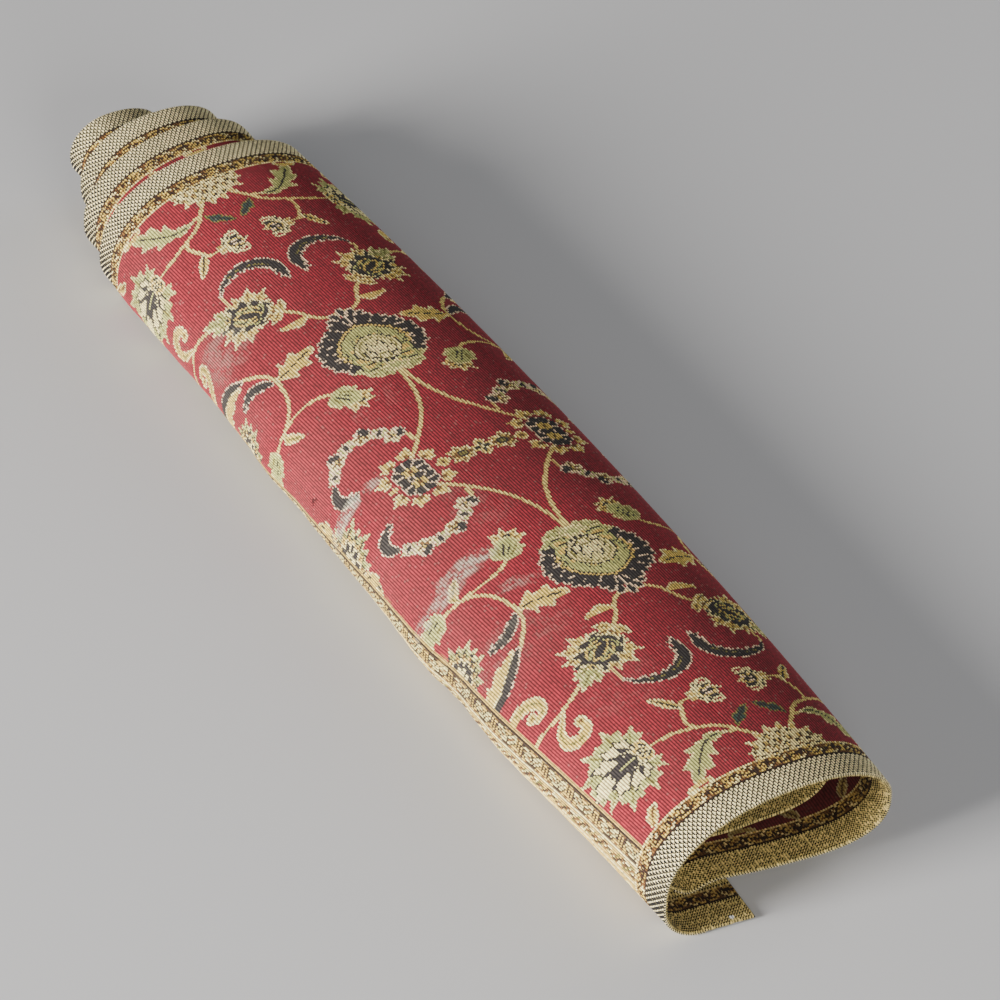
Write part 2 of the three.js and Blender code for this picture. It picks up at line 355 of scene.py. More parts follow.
def large_palmette(at, deg):
    def spot(a, b=0.0):
        return turned([(a, b)], at, deg)[0]

    heart = spot(36)
    ring = [(a, 39.5 - 0.05 * abs(a - 80) + 1.4 * (k % 2)) for k, a in enumerate(np.arange(20, 146, 9.6))]
    tip = [(112, 14), (84, 17), (60, 19), (40, 21), (20, 23), (0, 26)]
    for reach, col in ((0.5, PINK), (-0.6, COAL)):
        for a, ln in ring:
            for sgn in (1, -1):
                fill(turned(lobe(ln, 6.8, belly=0.86, sharp=0.6), heart, deg + sgn * a + 4 * sgn), (reach, col))
        for a, ln in tip:
            for sgn in (1, -1):
                fill(turned(lobe(ln, 5.6, belly=0.82, sharp=0.6), spot(62), deg + sgn * a), (reach, col))
    fill(turned(lobe(68, 58, belly=0.5, sharp=0.72), spot(8), deg), (0.0, COAL))
    disc(spot(64), 9, (0.0, COAL))
    for a, ln in ring[::2]:
        for sgn in (1, -1):
            line(turned([(26.5, 0), (31.5, 1.5 * sgn)], heart, deg + sgn * a + 4 * sgn), (1.1, PINK))
    for b in (-5, 0, 5):
        line([spot(64, b * 0.5), spot(76 - abs(b), b)], (1.1, PINK))
    flames(spot(5), [deg + a for a in (128, -128, 104, -104, 80, -80)], [17, 17, 23, 23, 29, 29], 13, SAGE, PALE, teeth=2, bite=0.4, vein=OLIVE)
    edge = lobe(56, 51, belly=0.5, sharp=0.66)
    edge[:, 1] *= 1 + 0.05 * np.sin(edge[:, 0] * 0.9)
    fill(turned(edge, spot(5), deg), (1.0, GOLD), (-0.8, COAL), (-1.8, SAGE))
    for a, ln, wd in ((84, 22, 12), (58, 27, 13), (34, 35, 13), (11, 41, 12)):
        for sgn in (1, -1):
            fill(turned(lobe(ln, wd, belly=0.72, sharp=0.7), spot(10), deg + sgn * a), (0.5, COAL), (-0.4, SAGE), (-3.0, GOLD))
    fill(turned(lobe(37, 33, belly=0.52, sharp=0.62), spot(9), deg), (0.9, COAL), (-0.2, PALE), (-2.6, OLIVE), (-3.7, PALE))
    for a, ln in ((70, 13), (38, 19), (12, 25)):
        for sgn in (1, -1):
            fill(turned(spiked(ln, 7.5, 2, 0.4, 0.66), spot(13), deg + sgn * a), (0.6, COAL), (-0.4, CREAM))
    disc(spot(17), 4.0, (0.6, OLIVE), (-0.6, CREAM))
    flames(spot(-2), [deg + a for a in (58, -58, 20, -20)], [13, 13, 12, 12], 7, SAGE, CREAM, teeth=1, bite=0.4)


def feather(points, widths, side, count, reach):
    """A dark curved leaf with a fringe of teeth along one side."""
    p = curve(points, 60)
    g = np.gradient(p, axis=0)
    g = g / np.hypot(g[:, 0], g[:, 1])[:, None]
    w = np.interp(np.linspace(0, 1, 60), np.linspace(0, 1, len(widths)), widths) / 2
    for grow, col in ((0.5, PINK), (-0.5, COAL)):
        for k in np.linspace(9, 53, count).astype(int):
            d = side * np.array([-g[k, 1], g[k, 0]]) * 0.8 + g[k] * 0.6
            fill(turned(lobe(w[k] + reach, 4.2, belly=0.35), p[k], math.degrees(math.atan2(d[1], d[0]))), (grow, col))
        fill(ribbon(points, widths), (grow, col))


def bud(at, deg, size=1.0):
    def spot(a, b=0.0):
        return turned([(a * size, b * size)], at, deg)[0]

    flames(spot(-5), [deg + a for a in (62, -62, 30, -30, 0)], [16 * size, 16 * size, 18 * size, 18 * size, 19 * size], 8 * size, COAL, CREAM, teeth=2, bite=0.5, out=0.45)
    fill(turned(spiked(13 * size, 11 * size, 2, 0.45), spot(-3), deg), (0.6, GOLD), (-0.6, COAL))
    for sgn in (1, -1):
        line([spot(-4, 2 * sgn), spot(0, 10 * sgn), spot(5, 14 * sgn), spot(9, 12 * sgn), spot(7, 9 * sgn), spot(4, 10 * sgn)], (2.1, CREAM))
        line([spot(1, 1.6 * sgn), spot(7, 3 * sgn)], (1.2, PINK))
    petals(spot(-4), [deg + 180 + a for a in (32, -32)], 8 * size, 4.5 * size, STRAW, CREAM)


def floret(at, deg, size=1.0, dark=True):
    petals(at, [deg + a for a in (144, -144, 72, -72, 0)], 8.5 * size, 6.4 * size, CREAM, PINK, sharp=0.7, out=0.4, core=BROWN)
    if dark:
        fill(turned(spiked(12 * size, 9 * size, 2, 0.45), turned([(-5 * size, 0)], at, deg)[0], deg + 60), (0.4, PINK), (-0.5, COAL))
    disc(at, 1.9 * size, (0.4, COAL), (-0.5, GOLD))


def leaflet(at, deg, size=1.0):
    flames(at, [deg + a for a in (38, -38, 142, -142)], 9.5 * size, 6.5 * size, SAGE, PINK, teeth=1, bite=0.45, out=0.4)
    fill(turned(lobe(13 * size, 5.5 * size, start=-6.5 * size), at, deg + 90), (0.4, PINK), (-0.5, COAL))


def rosette(at, out_deg):
    for a in (-118, -72, -24, 24, 72, 118):
        head = turned([(16.5, 0)], at, out_deg + a)[0]
        flames(head, [out_deg + a + b for b in (-58, 58, 0)], [8, 8, 10], 6.5, GOLD, CREAM, teeth=1, bite=0.4, out=0.45)
        disc(head, 1.8, (0.3, BROWN))
    petals(at, [22.5 + a for a in range(0, 360, 45)], 13.5, 9, COAL, PINK, belly=0.68, sharp=0.62, out=0.5)
    petals(at, [a for a in range(0, 360, 60)], 6.2, 4.0, GOLD, COAL, belly=0.62, out=0.4)
    disc(at, 1.8, (0.3, BROWN))


def pod(at, deg, size=1.0):
    def spot(a, b=0.0):
        return turned([(a * size, b * size)], at, deg)[0]

    flames(spot(21), [deg + a for a in (62, -62, 22, -22)], 15 * size, 8 * size, GOLD, CREAM, teeth=1, bite=0.4, vein=BROWN)
    disc(spot(26), 2.2 * size, (0.6, COAL))
    fill(turned(spiked(26 * size, 25 * size, 3, 0.3, 0.45), at, deg), (0.6, PALE), (-OUT, SAGE))
    for b in (-7, -2.5, 2.5, 7):
        line([spot(5, b * 0.5), spot(18 - abs(b) * 0.5, b)], (1.3, COAL if abs(b) < 4 else OLIVE))


def hook(points, widths=(2.2, 4, 6.5, 9, 9.5, 8, 5)):
    fill(ribbon(points, widths), (0.6, CREAM), (-0.7, GOLD))
    p = curve(points, 24)
    line(p[5:19], (1.3, OLIVE))
    disc(p[-1], 4.2, (0.7, CREAM), (-0.8, GOLD))
    disc(p[-1], 1.2, (0.2, BROWN))


def border_palmette(at, reach):
    flames(at, list(np.linspace(186, 354, 9)), [reach * k for k in (0.9, 1, 0.92, 1.04, 0.96, 1.04, 0.92, 1, 0.9)], 10, SAGE, PALE, teeth=2, bite=0.5, belly=0.68, vein=OLIVE)
    flames(at, list(np.linspace(198, 342, 7)), reach * 0.8, 9, GOLD, COAL, teeth=2, bite=0.4, belly=0.66, vein=BROWN)
    petals(at, list(np.linspace(206, 334, 5)), reach * 0.56, 7, COAL, CREAM, belly=0.68)
    petals(at, list(np.linspace(225, 315, 3)), reach * 0.38, 6, CREAM, COAL, belly=0.68)


def draw_field():
    # stems first, then what grows on them
    vine((64, 14), (73, 21), (84, 30), (92, 46), (96.5, 64), (97.5, 76))
    vine((74, 24), (77, 33), (76, 42), wide=2.8)
    vine((91, 44), (99, 46.5), (108, 44), (117, 40), wide=3.0)
    vine((119, 40), (121, 34), (121, 26), wide=2.6)
    vine((188, 60), (178, 55.5), (167, 55.5), (158, 51), wide=2.2)
    vine((211, 37), (226, 25), (240, 18), (247, 11), (247, 3), wide=3.0)
    vine((186, 72), (177.5, 90), (174.5, 104), (175, 120), (176, 136))
    vine((328, 1), (350, 2.5), (368, 6), (386, 12.5), (402, 22), (416, 32), (430, 44))
    vine((238, 102), (247, 88), (261, 76), (276, 70.5), (296, 73), (311, 80), (320, 92), (324, 112))
    vine((320.5, 92), (318.5, 76), (320.5, 60), (328, 48))
    vine((412, 33), (403, 33.5), (396, 38), wide=2.4)

    # on the end border: a scaled dome, a toothed leaf, dark leaf and bud
    flames((37, 0), [a for a in (-72, 72, -50, 50, -30, 30, -10, 10)], [31, 31, 33, 33, 33, 33, 33, 33], 13, GOLD, CREAM, teeth=2, bite=0.5)
    dome = np.array([(36, -29), (44, -28), (51, -24), (57, -16), (61, -8), (64, 0), (61, 8), (57, 16), (51, 24), (44, 28), (36, 29)], float)
    w = window(dome, 2)
    d = away(dome, w, True)
    CELL[w][d < 0.3] = CREAM
    x, y = TAU[w[0]][:, None], VEE[w[1]][None, :]
    row = np.floor((x - 35.5) / 6.6)
    off = (y + 4.4 * (row % 2)) % 8.8 - 4.4
    rad = np.hypot((x - 35.5) - row * 6.6 - 3.0, off * 0.85)
    CELL[w][(d < -0.6) & (rad > 4.0)] = BROWN
    CELL[w][(d < -0.6) & (rad < 2.2)] = UMBER
    CELL[w][(d < -0.6) & (np.abs(off) < 0.8) & (rad < 2.4) & (x - 35.5 - row * 6.6 < 3.4)] = GOLD
    leaf([(76, 29), (76.5, 43), (67, 55), (55, 64), (43, 73)], [3, 13, 23, 21, 3], SAGE, CREAM, teeth=4, bite=0.6, rib=COAL)
    leaf([(40, 62), (43, 69), (42, 76), (40, 82)], [3, 6, 6, 2], GOLD, CREAM, teeth=2, bite=0.4)
    leaf([(78, 19), (85, 14), (91, 8), (96, 3)], [2, 10, 10, 1], GREEN, OLIVE, teeth=2, bite=0.5, out=0.6, rib=COAL)
    leaf([(114, 41.5), (121, 45), (128, 49), (136, 55)], [2, 8, 8, 1], GOLD, CREAM, teeth=2, bite=0.35, rib=COAL)
    bud((121, 20), -90)
    corner_palmette((97.5, 76), 90)
    leaf([(40, 114), (45, 111.5), (50, 108), (54, 102)], [5, 9, 9, 1], GOLD, CREAM, teeth=2, bite=0.3, rib=BROWN)

    # dark toothed crescent and the palmettes
    feather([(165, 55), (155.5, 47), (150.5, 33), (154, 18), (166, 8), (187, 7)], [2, 5, 9, 10.5, 8, 1], 1, 9, 4.2)
    line([(153.5, 42), (151.5, 33), (154, 21), (163, 11)], (1.1, OLIVE))
    hook([(174.5, 99), (168, 105), (160, 112), (150, 113), (144, 105), (148, 96), (156, 96)])
    hook([(205, 136), (206.5, 124), (203.5, 113), (196, 106.5), (188.5, 109), (188, 116), (193, 117.5)], (6, 7.5, 9, 9.5, 7.5, 5, 3.5))
    medium_palmette((216, 33.5), 130)
    leaf([(235, 20), (239, 28), (238, 35), (235, 43)], [2, 9, 8, 1], GOLD, CREAM, teeth=2, bite=0.35)
    large_palmette((330, 0), 180)

    # branch from the side border
    leaf([(231, 136), (232, 118), (238.5, 102), (248, 88)], [13, 15, 11, 2], COAL, PINK)
    leaf([(238, 137), (240, 121), (245, 106), (250, 92)], [10, 15, 11, 1], GOLD, CREAM, teeth=3, bite=0.7, right=False)
    feather([(277, 73), (269, 80), (263, 91), (263, 105)], [3, 8, 8, 1], -1, 6, 4.0)
    leaf([(278, 70), (277, 60), (274, 49), (270, 35)], [4, 28, 24, 2], GOLD, CREAM, teeth=3, bite=0.6, rib=COAL)
    border_palmette((278, 134), 27)
    pod((324, 109), 84, 0.95)
    leaf([(321, 93), (327, 94.5), (333, 91), (341, 84)], [2, 9, 8, 1], GOLD, CREAM, teeth=2, bite=0.35, rib=OLIVE)
    pod((327, 51), -32, 0.95)

    # wreath of florets about the middle rosettes
    for k, (at, deg) in enumerate((((399, 41), 150), ((389.5, 47.5), 130), ((383, 58), 105), ((382, 70.5), 88), ((386, 82), 65), ((395, 91), 40))):
        (leaflet if k % 2 else floret)(at, deg, 0.82 if k % 2 else 0.95)
    feather([(401, 95), (409, 101), (419, 100), (428, 88)], [4, 9, 9, 1], -1, 5, 4.0)
    border_palmette((450, 134), 33)
    leaf([(428, 137), (419, 128), (408, 126), (395, 131)], [4, 13, 11, 1], GOLD, CREAM, teeth=3, bite=0.5, rib=COAL)
    petals((449, 0), (0, 90, 180, 270), 9.5, 7.5, GOLD, CREAM, core=COAL, out=0.45)
    flames((449, 15), (165, 125, 90, 225, 270), [11, 12, 12, 10, 9], 7.5, GOLD, CREAM, teeth=1, bite=0.45, out=0.45, vein=BROWN)
    disc((449, 15), 3.4, (0.4, COAL), (-0.9, OLIVE))
    fill(turned(lobe(10, 10, belly=0.5), (449, 25), 90), (0.5, CREAM), (-0.4, GOLD), (-2.8, BROWN))
    rosette((442, 52), 128)


draw_field()


def wave(a, period, phase=0.0):
    return np.sin(2 * np.pi * (a / period + phase))


def strip_scallops(a, b, wide):
    """A dark strip with pale arches: a runs along it, b across it, 0..wide."""
    c = np.full(np.broadcast(a, b).shape, BROWN, np.int8)
    u = (a % 17.0) - 8.5
    r = np.hypot(u, (b - wide * 0.06) * 0.95)
    c = np.where((r > 6.2) & (r < 8.1), CREAM, c)
    c = np.where((r > 8.1) & (r < 9.2), UMBER, c)
    c = np.where(r < 5.0, UMBER, c)
    c = np.where(r < 3.4, STRAW, c)
    c = np.where(np.hypot(8.5 - np.abs(u), b - wide * 0.8) < 2.2, CREAM, c)
    return c


def strip_leaves(a, b, wide):
    """Slanting pale leaves, two and two, with short dark strokes between them."""
    c = np.full(np.broadcast(a, b).shape, STRAW, np.int8)
    u, w = a % 33.0, b - wide / 2
    c = np.where((np.abs(w) > wide * 0.38) & (np.floor(a / 3.6) % 2 == 0), BROWN, c)
    c = np.where((u > 22) & (np.floor(a / STITCH) % 2 == 0) & (np.abs(w + 0.3 * (u - 27)) < wide * 0.3), UMBER, c)
    for mid, lean in ((5.5, 0.55), (16.0, -0.45)):
        v = w - lean * (u - mid)
        r = np.hypot((u - mid) / 6.4, v / (wide * 0.3))
        c = np.where((r > 1) & (r < 1.36), UMBER, c)
        c = np.where(r < 1, PALE, c)
        c = np.where((r < 0.8) & (np.abs(v) < 0.7), BROWN, c)
    return c


def strip_scrolls(a, b, wide):
    """A pale gold strip with dark scrolling stems."""
    c = np.full(np.broadcast(a, b).shape, STRAW, np.int8)
    mid = wide / 2
    w = mid + wide * 0.27 * wave(a, 24)
    c = np.where(np.abs(b - mid + wide * 0.3 * wave(a, 17, 0.2)) < 1.2, OLIVE, c)
    c = np.where(np.abs(b - mid - wide * 0.4 * wave(a, 31, 0.6)) < 1.0, PALE, c)
    c = np.where(np.abs(b - w) < 1.1, UMBER, c)
    for k, sgn in ((6.0, -1), (18.0, 1)):
        u = (a - k + 12) % 24 - 12
        r = np.hypot(u, b - mid - sgn * -wide * 0.16)
        c = np.where((r < 3.4) & (r > 1.9), BROWN, c)
        c = np.where(r < 1.3, CREAM, c)
        v = (a - k - 6 + 12) % 24 - 12
        c = np.where((np.abs(v) < 2.6) & (np.abs(b - mid - sgn * wide * 0.34) < 1.2), CREAM, c)
    return c


def strip_end(a, b, wide):
    """The narrow brown border at the ends of the rug: leaves along a winding stem."""
    c = np.full(np.broadcast(a, b).shape, BROWN, np.int8)
    mid = wide / 2
    stem = mid + wide * 0.26 * wave(a, 27) + 0.8 * wave(a, 11, 0.3)
    c = np.where(np.abs(b - stem) < 3.4, STRAW, c)
    for k, sgn, col, size in ((6.5, -1, CREAM, 3.6), (20.0, 1, CREAM, 3.3), (13.5, 1, GOLD, 4.2), (0.5, -1, GOLD, 4.0)):
        u = (a - k + 13.5) % 27 - 13.5
        v = (b - mid - sgn * wide * 0.2) + 0.5 * sgn * u
        r = np.hypot(u * 0.62, v)
        c = np.where((r < size) & (r > size - 1.1), UMBER, c)
        c = np.where(r < size - 1.1, np.where(np.abs(v - 0.3) < 0.7, BROWN, col), c)
    c = np.where(np.abs(b - stem) < 0.6, UMBER, c)
    return c


def chart(s, t):
    """Colour number of the weave at rug points, apart from the end bands."""
    s, t = np.broadcast_arrays(np.asarray(s, float), np.asarray(t, float))
    edge_s, edge_t = np.minimum(s, RUG_LENGTH - s), np.minimum(t, RUG_WIDTH + FAR_CUT - t)
    v = np.abs((s - S_MEDAL + HALF) % (2 * HALF) - HALF)
    i = np.clip(np.round((edge_t - TAU[0]) / STEP).astype(int), 0, len(TAU) - 1)
    j = np.clip(np.round((v - VEE[0]) / STEP).astype(int), 0, len(VEE) - 1)
    c = CELL[i, j]
    # side border, from the field outwards
    side = np.full(s.shape, UMBER, np.int8)
    for lo, hi, what in (
        (0, 6, STRAW), (6, 32, "scroll"), (32, 34.5, CREAM), (34.5, 48, "arch"), (48, 50.5, CREAM), (50.5, 83.5, "scroll"),
        (83.5, 85, UMBER), (85, 87.5, CREAM), (87.5, 98.5, "scroll"), (98.5, 100.5, CREAM), (100.5, 101.5, UMBER),
        (101.5, 112.8, "leaves"), (112.8, 114.2, UMBER), (114.2, 116.5, STRAW),
    ):
        m = (edge_s >= lo) & (edge_s < hi)
        if what == "scroll":
            side = np.where(m, strip_scrolls(t, edge_s - lo, hi - lo), side)
        elif what == "arch":
            side = np.where(m, strip_scallops(t, hi - edge_s, hi - lo), side)
        elif what == "leaves":
            side = np.where(m, strip_leaves(t, hi - edge_s, hi - lo), side)
        else:
            side = np.where(m, what, side)
    c = np.where(edge_s < FIELD_S, side, c)
    # end border, with its lines
    end = strip_end(s, edge_t - 26.2, 10.3)
    end = np.where(edge_t < 26.2, UMBER, end)
    end = np.where(edge_t > 36.4, UMBER, end)
    end = np.where(edge_t > 37.5, np.where((s % 5.0) < 3.6, CREAM, STRAW), end)
    c = np.where((edge_t < FIELD_T) & (edge_t + FIELD_S - FIELD_T < edge_s), end, c)
    c = np.where((edge_t < 38) & (edge_s < FIELD_S), end, c)
    return c


# ------------------------------------------------------------------ the cloth
RIB = 2.1           # spacing of the ribs, which run across the rug
HALF_RIB = RIB / 2
STITCH = 1.8        # length of a stitch along a rib
DASH = 1.35         # a quarter of the dash in the end bands
BAND = 24.3         # depth of the end bands, 18 quarter dashes
VALLEY = 0.75       # how far the gap between ribs lies under the face


def linear(rgb):
    c = np.asarray(rgb, float) / 255
    return np.where(c <= 0.04045, c / 12.92, ((c + 0.055) / 1.055) ** 2.4)


PALETTE = np.array([linear(SRGB[i]) for i in range(len(SRGB))])
BAND_PALE, BAND_DARK = linear((246, 230, 174)), linear((22, 18, 15))


def hashed(i, j, salt):
    """A fixed even spread of numbers from 0 to 1 over whole numbers."""
    h = (i.astype(np.int64) * 374761393 + j.astype(np.int64) * 668265263 + salt * 974711) & 0xFFFFFFFF
    h = ((h ^ (h >> 13)) * 1274126177) & 0xFFFFFFFF
    return ((h ^ (h >> 16)) & 0xFFFF) / 65535.0


def blur_noise(s, t, size, salt):
    """Smooth noise from 0 to 1 with patches about size millimetres across."""
    a, b = s / size, t / size
    i, j = np.floor(a), np.floor(b)
    u, v = ease(0, 1, a - i), ease(0, 1, b - j)
    n = [hashed(i + p, j + q, salt) for p in (0, 1) for q in (0, 1)]
    return (n[0] * (1 - v) + n[1] * v) * (1 - u) + (n[2] * (1 - v) + n[3] * v) * u


# rubbed, dusty places: s, t, half length along s and t, strength
RUBBED = [
    (177, 343, 24, 11, 0.85), (160, 345, 16, 8, 0.6), (141, 335, 28, 8, 0.6), (121, 338, 14, 7, 0.4), (158, 333, 10, 6, 0.4),
    (140, 471, 34, 8, 0.8), (167, 470, 16, 6, 0.55), (120, 474, 10, 7, 0.4), (185, 303, 13, 7, 0.4), (196, 298, 10, 6, 0.3),
    (212, 395, 34, 40, 0.1), (165, 690, 34, 34, 0.2), (190, 160, 40, 60, 0.08), (160, 255, 60, 30, 0.12), (205, 545, 40, 40, 0.08),
]
# pale colour of dust and wear, also used for the painted sheen on the lit side
DUST_AND_SHEEN = linear((196, 188, 166))
SIDE_BAND = 45.0    # the same plain weave runs along the free outer end
LINT = (15.0, 5.0, 1.7)
SPOTS = [(130, 514, 2.6), (134, 511, 1.6)]      # small dark stains: s, t, radius


def threads(s, t, rib, col, groove=None, back=False):
    """Linear colour of each stitch: s, t its middle, rib and col its numbers, groove the side of the rib it is on."""
    c = PALETTE[chart(s, t)]
    edge = np.minimum(t, RUG_WIDTH + FAR_CUT - t)
    plain = (edge < BAND) | ((s < SIDE_BAND) & (edge > FIELD_T))
    if groove is None:
        speck = (0.5 * BAND_DARK + 0.5 * BAND_PALE) + np.zeros(c.shape)
    else:
        step = (np.floor(edge / DASH).astype(int) + 2 * (rib % 2)) % 4
        if back:
            dark = ((step + groove) % 2 == 0) & (hashed(rib, col * 2 + groove, 14) > 0.25)
        else:
            dark = np.where(groove, step != 3, step == 1)
        speck = np.where(dark[..., None], BAND_DARK, BAND_PALE)
    c = np.where(plain[..., None], speck, c)
    # the threads differ a little, and every fifth one of a rib is tied down
    vary = 0.72 + 0.5 * hashed(rib, col, 1) + 0.16 * (hashed(rib, col * 0, 2) - 0.5)
    tied = (col + 2 * rib) % 5 == 0
    c = c * np.where(tied & ~plain, vary * 0.8, vary)[..., None]
    c = c * (0.88 + 0.24 * blur_noise(s, t, 70, 3))[..., None]
    wear_dust_and_sheen = np.zeros(np.broadcast(s, t).shape)
    for a, b, la, lb, k in RUBBED:
        d = ((s - a) / la) ** 2 + ((t - b) / lb) ** 2
        wear_dust_and_sheen = np.maximum(wear_dust_and_sheen, k * ease(0, 1, 1.15 - d))
    wear_dust_and_sheen = wear_dust_and_sheen * (0.06 + 0.94 * ease(0.3, 0.76, 0.35 * blur_noise(s * 0.6, t, 4, 5) + 0.35 * blur_noise(s, t, 9, 8) + 0.3 * hashed(rib, col, 9)))
    # a thin pale film over the field: dust everywhere, plus painted sheen that is stronger on the lit left side, below
    # s of 160 to 260
    dust_and_lit_sheen = (0.026 + 0.03 * blur_noise(s, t, 34, 11) * (1 - ease(160, 260, s))) * (edge > FIELD_T)
    fleck = np.where(hashed(rib, col, 12) > 0.97, 0.12, 0.0)
    wear_dust_and_sheen = np.maximum(wear_dust_and_sheen, np.maximum(dust_and_lit_sheen, fleck) * ~plain)
    c = c * (1 - wear_dust_and_sheen[..., None]) + DUST_AND_SHEEN * wear_dust_and_sheen[..., None]
    for a, b, r in SPOTS:
        c = np.where(((s - a) ** 2 + (t - b) ** 2 < r * r)[..., None], c * 0.3, c)
    if back:
        grey = c.mean(-1, keepdims=True)
        # the back is duller than the face, and the back of the field is painted darker still as painted shade inside
        # the roll
        tint = np.where((edge < FIELD_T)[..., None], np.array([0.68, 0.59, 0.43]), np.array([0.42, 0.38, 0.31]))
        c = (c * 0.8 + grey * 0.2) * np.where(plain[..., None], np.array([0.86, 0.76, 0.43]), tint)
        c = np.where((((s - LINT[0]) ** 2 + (t - LINT[1]) ** 2) < LINT[2] ** 2)[..., None], 0.85, c)
    return c


def stitches(t0, t1):
    """Edges of the stitches from t0 to t1: finer in the end bands."""
    near = np.arange(0, BAND + 1e-6, DASH)
    last = RUG_WIDTH + FAR_CUT - BAND
    mid = np.linspace(BAND, last, int(round((last - BAND) / STITCH)) + 1)[1:-1]
    far = RUG_WIDTH + FAR_CUT - near[::-1]
    t = np.concatenate([near, mid, far[far < RUG_WIDTH - 0.3], [RUG_WIDTH]])
    return t[(t >= t0 - 1e-6) & (t <= t1 + 1e-6)]


def mesh_piece(name, points, colour, flip=False, smooth=True):
    """A grid of points (rows, columns, 3) with one colour for each corner of each face."""
    rows, cols = points.shape[:2]
    idx = np.arange(rows * cols).reshape(rows, cols)
    a, b, c, d = idx[:-1, :-1], idx[1:, :-1], idx[1:, 1:], idx[:-1, 1:]
    quads = np.stack([a, d, c, b] if flip else [a, b, c, d], -1).reshape(-1, 4)
    mesh = bpy.data.meshes.new(name)
    mesh.vertices.add(rows * cols)
    mesh.vertices.foreach_set("co", points.reshape(-1).astype(np.float32))
    mesh.loops.add(quads.size)
    mesh.loops.foreach_set("vertex_index", quads.reshape(-1).astype(np.int32))
    mesh.polygons.add(len(quads))
    mesh.polygons.foreach_set("loop_start", np.arange(0, quads.size, 4, dtype=np.int32))
    mesh.update(calc_edges=True)
    mesh.validate()
    if smooth:
        mesh.shade_smooth()
    order = (0, 3, 2, 1) if flip else (0, 1, 2, 3)
    colour = colour[..., order, :]
    rgba = np.concatenate([colour, np.ones(colour.shape[:-1] + (1,))], -1)
    attr = mesh.color_attributes.new("Thread", "FLOAT_COLOR", "CORNER")
    attr.data.foreach_set("color", rgba.reshape(-1).astype(np.float32))
    u, v = np.linspace(0.004, 0.996, cols), np.linspace(0.004, 0.996, rows)
    uv = np.stack(np.broadcast_arrays(u[None, :], v[:, None]), -1).reshape(-1, 2)
    layer = mesh.uv_layers.new(name="OFBake")
    layer.data.foreach_set("uv", uv[quads.reshape(-1)].reshape(-1).astype(np.float32))
    obj = bpy.data.objects.new(name, mesh)
    bpy.context.scene.collection.objects.link(obj)
    return obj


def ribbed(name, rib0, rib1, t0, t1, back=False):
    """The ribs numbered rib0 to rib1, from t0 to t1, with their real relief."""
    rows = np.arange(2 * rib0, 2 * rib1 + 1)
    s = np.clip(rows * HALF_RIB, 0, RUG_LENGTH)
    t = stitches(t0, t1)
    ms, mt = ((s[:-1] + s[1:]) / 2)[:, None], ((t[:-1] + t[1:]) / 2)[None, :]
    rib = (rows[:-1] // 2)[:, None] + np.zeros((1, len(t) - 1), int)
    col = np.round(mt / STITCH).astype(int) + np.zeros((len(s) - 1, 1), int)
    groove = (rows[:-1] % 2 == 1)[:, None] & (rib >= 0)
    hue = threads(ms, mt, rib, col, groove, back)
    crest = (rows % 2).astype(float)
    j = np.arange(len(t))[None, :]
    bump = 0.08 * ((j + (rows // 2)[:, None]) % 2)
    deep = np.where(crest[:, None] > 0, bump, VALLEY + 0 * j)
    # painted light on the ribs: the crests are painted brighter as a painted highlight and the gaps between ribs darker
    # as painted shade, on top of the real relief
    shade = np.where(crest > 0, 1.35, 0.45) if back else np.where(crest > 0, 1.7, 0.05)
    colour = np.stack([hue * shade[:-1, None, None], hue * shade[1:, None, None], hue * shade[1:, None, None], hue * shade[:-1, None, None]], 2)
    pt = t
    # turn the cut edges down to the middle of the cloth; their turned-down faces are painted a little darker as painted
    # shade
    if t0 <= 0:
        pt, deep = np.concatenate([[0.0], pt]), np.concatenate([np.full((len(s), 1), THICK / 2), deep], 1)
        colour = np.concatenate([colour[:, :1] * 0.8, colour], 1)
    if t1 >= RUG_WIDTH:
        pt, deep = np.concatenate([pt, [RUG_WIDTH]]), np.concatenate([deep, np.full((len(s), 1), THICK / 2)], 1)
        colour = np.concatenate([colour, colour[:, -1:] * 0.8], 1)
    if rows[0] == 0:
        s, deep = np.concatenate([[0.0], s]), np.concatenate([np.full((1, deep.shape[1]), THICK / 2), deep], 0)
        colour = np.concatenate([colour[:1], colour], 0)
    if back:
        deep = THICK - deep
    return mesh_piece(name, rug(s[:, None], pt[None, :], deep), colour, flip=back, smooth=False)


